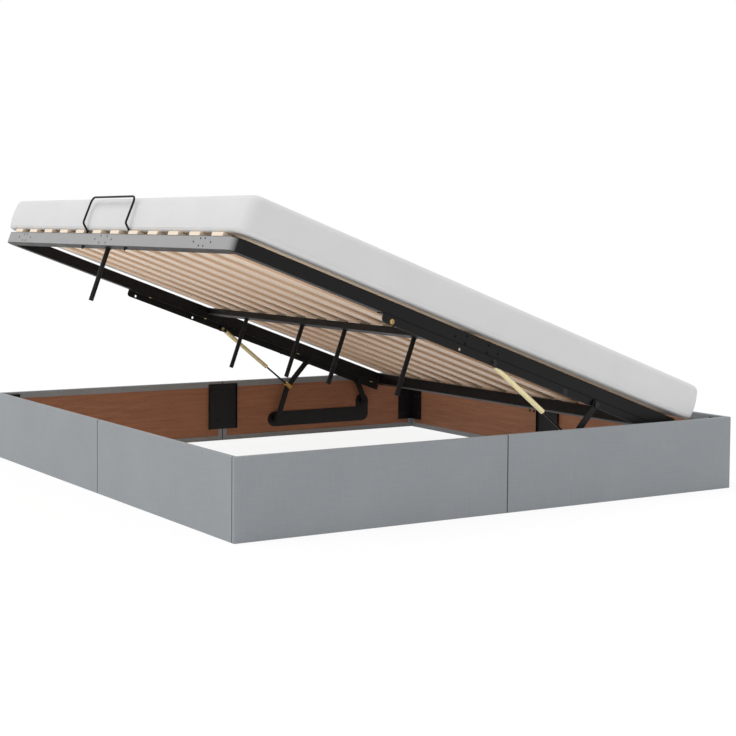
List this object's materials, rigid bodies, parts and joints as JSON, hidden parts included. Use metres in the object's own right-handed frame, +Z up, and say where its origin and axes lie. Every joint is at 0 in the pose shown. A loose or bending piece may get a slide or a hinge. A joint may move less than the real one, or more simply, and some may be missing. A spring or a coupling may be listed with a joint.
{
  "type": "ottoman storage bed",
  "caption": "Cloth-covered storage bed base with a slatted steel platform and mattress that lift at the foot end on side links and gas springs.",
  "frame": {"origin": "on the floor, under the middle of the rectangular base", "axes": "+X to one long side of the bed, +Y to the head end, -Y to the foot end that lifts, +Z up"},
  "size_m": [2.03, 2.1017, 1.0533],
  "materials": {
    "grey_cloth": "woven upholstery cloth",
    "board": "bare engineered board",
    "black_steel": "satin black powder coat",
    "frame_steel": "satin black powder coat",
    "birch": "bent laminated slat, clear lacquer",
    "cream_plastic": "moulded slat holder",
    "mattress_cloth": "white knitted ticking",
    "bare_steel": "zinc plated",
    "gas_yellow": "pale yellow enamel",
    "rod_black": "black nitrided rod",
    "gold_brass": "passivated gold finish",
    "black_rubber": "moulded cap"
  },
  "bodies": {
    "base": {"foot_board_far": "board", "foot_cover_far": "grey_cloth", "foot_board_near": "board", "foot_cover_near": "grey_cloth", "head_board_far": "board", "head_cover_far": "grey_cloth", "head_board_near": "board", "head_cover_near": "grey_cloth", "far_board_foot": "board", "far_cover_foot": "grey_cloth", "far_board_head": "board", "far_cover_head": "grey_cloth", "near_board_foot": "board", "near_cover_foot": "grey_cloth", "near_board_head": "board", "near_cover_head": "grey_cloth", "corner_brackets": "black_steel", "joiner_plates": "black_steel", "lift_bracket_near": "black_steel", "lift_bracket_far": "black_steel", "base_pivot_pins": "black_steel"},
    "front_links": {"front_link_near": "black_steel", "front_link_far": "black_steel"},
    "platform": {"foot_tube": "frame_steel", "head_tube": "frame_steel", "mattress_stop": "black_steel", "stop_nuts": "bare_steel", "side_tube_near": "frame_steel", "side_tube_far": "frame_steel", "cross_tube": "frame_steel", "foot_leg": "frame_steel", "cross_leg_1": "frame_steel", "cross_leg_2": "frame_steel", "cross_leg_3": "frame_steel", "cross_leg_4": "frame_steel", "leg_caps": "black_rubber", "lift_angle_near": "black_steel", "lift_angle_far": "black_steel", "platform_pivot_pins": "bare_steel", "angle_bolts": "bare_steel", "gas_pivot_pins": "bare_steel", "foot_slats_1": "birch", "foot_slats_2": "birch", "foot_slats_3": "birch", "foot_slats_4": "birch", "head_slats_1": "birch", "head_slats_2": "birch", "head_slats_3": "birch", "head_slats_4": "birch", "foot_slat_caps": "cream_plastic", "cross_slat_caps": "cream_plastic", "head_slat_caps": "cream_plastic", "mattress": "mattress_cloth"},
    "rear_links": {"rear_link_near": "black_steel", "rear_link_far": "black_steel"},
    "gas_cylinders": {"gas_cylinder_near": "gas_yellow", "gas_cylinder_far": "gas_yellow", "gas_eyes": "black_steel"},
    "gas_rods": {"gas_rods": "rod_black", "gas_clevises": "gold_brass"}
  },
  "joints": [
    {"name": "front_link_pivot", "type": "hinge", "parent": "base", "child": "front_links", "pos_m": [0, 0.265, 0.07844], "axis": [-1, 0, 0], "range_deg": [0, 39.77]},
    {"name": "platform_lift", "type": "hinge", "parent": "front_links", "child": "platform", "pos_m": [0, 0.41883, 0.336], "axis": [1, 0, 0], "range_deg": [0, 59.77]},
    {"name": "rear_link_pivot", "type": "hinge", "parent": "base", "child": "rear_links", "pos_m": [0, 0.73508, 0.13663], "axis": [-1, 0, 0], "range_deg": [0, 91.87]},
    {"name": "gas_spring_pivot", "type": "hinge", "parent": "platform", "child": "gas_cylinders", "pos_m": [0, -0.02752, 0.49846], "axis": [1, 0, 0], "range_deg": [0, 15.01]},
    {"name": "gas_rod_slide", "type": "slide", "parent": "gas_cylinders", "child": "gas_rods", "axis": [0, -0.7843, 0.6204], "range_m": [0, 0.11205]}
  ],
  "couplings": [
    {"joint": "front_link_pivot", "follows": "platform_lift", "ratio": 0.66538},
    {"joint": "rear_link_pivot", "follows": "platform_lift", "ratio": 1.5371},
    {"joint": "gas_spring_pivot", "follows": "platform_lift", "ratio": 0.25119},
    {"joint": "gas_rod_slide", "follows": "platform_lift", "m_per_rad": 0.10741}
  ]
}
